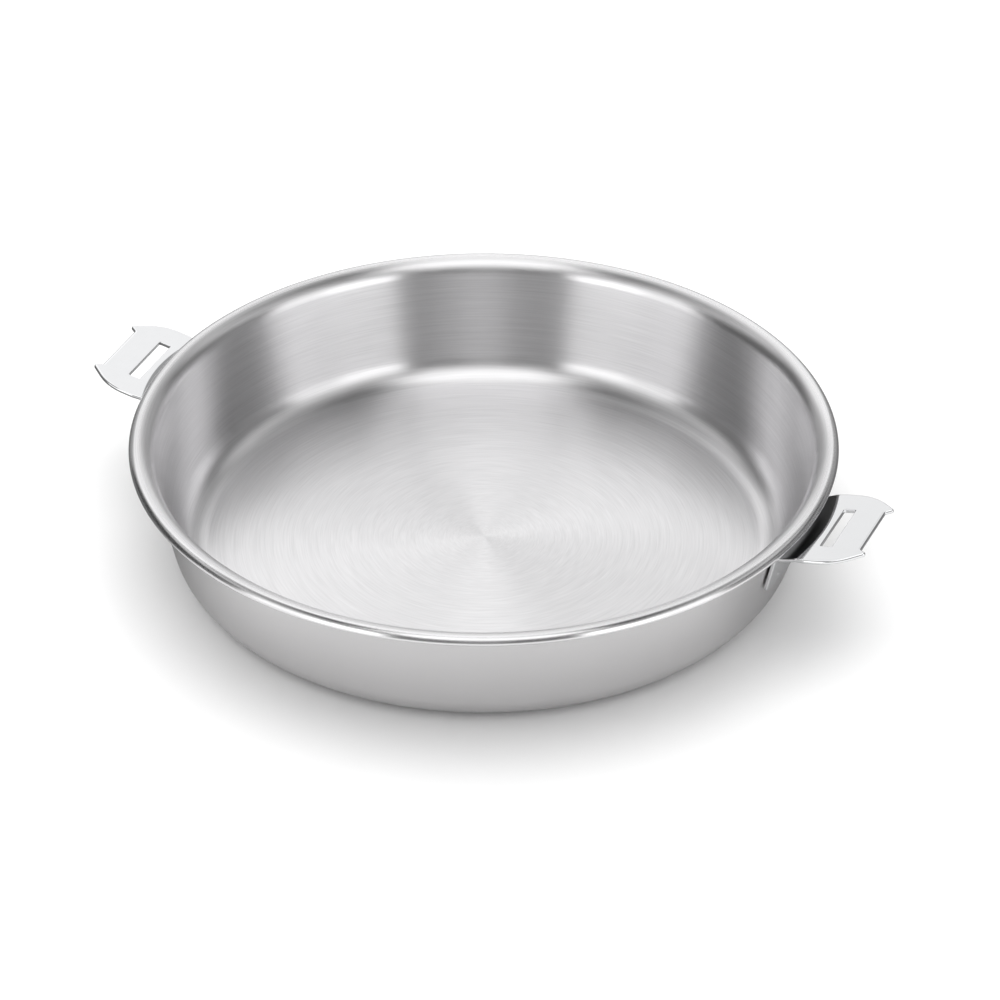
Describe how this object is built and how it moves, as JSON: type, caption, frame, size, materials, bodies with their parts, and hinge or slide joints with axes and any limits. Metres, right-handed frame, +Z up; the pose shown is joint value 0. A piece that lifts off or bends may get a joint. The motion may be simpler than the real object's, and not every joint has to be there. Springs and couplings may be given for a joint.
{
  "type": "frying pan",
  "caption": "Deep round stainless frying pan with a brushed inside, a flared lip with a rolled edge and slotted side brackets for a clip-on handle.",
  "frame": {"origin": "centre of the flat base, on the surface that the pan stands on", "axes": "+X out through the middle of the right bracket, +Y away from the pictured front towards its back, +Z up"},
  "size_m": [0.3314, 0.28, 0.052],
  "materials": {
    "brushed_inside": "fine circular brushing, polished lip",
    "core": "rolled",
    "satin_outside": "smooth satin",
    "polished_bracket": "mirror polished",
    "weld": "fused, heat tinted"
  },
  "bodies": {
    "root": {"cooking_skin": "brushed_inside", "aluminium_core": "core", "outer_skin": "satin_outside", "right_bracket": "polished_bracket", "right_weld_1": "weld", "right_weld_2": "weld", "right_weld_3": "weld", "right_weld_4": "weld", "left_bracket": "polished_bracket", "left_weld_1": "weld", "left_weld_2": "weld", "left_weld_3": "weld", "left_weld_4": "weld"}
  },
  "joints": []
}
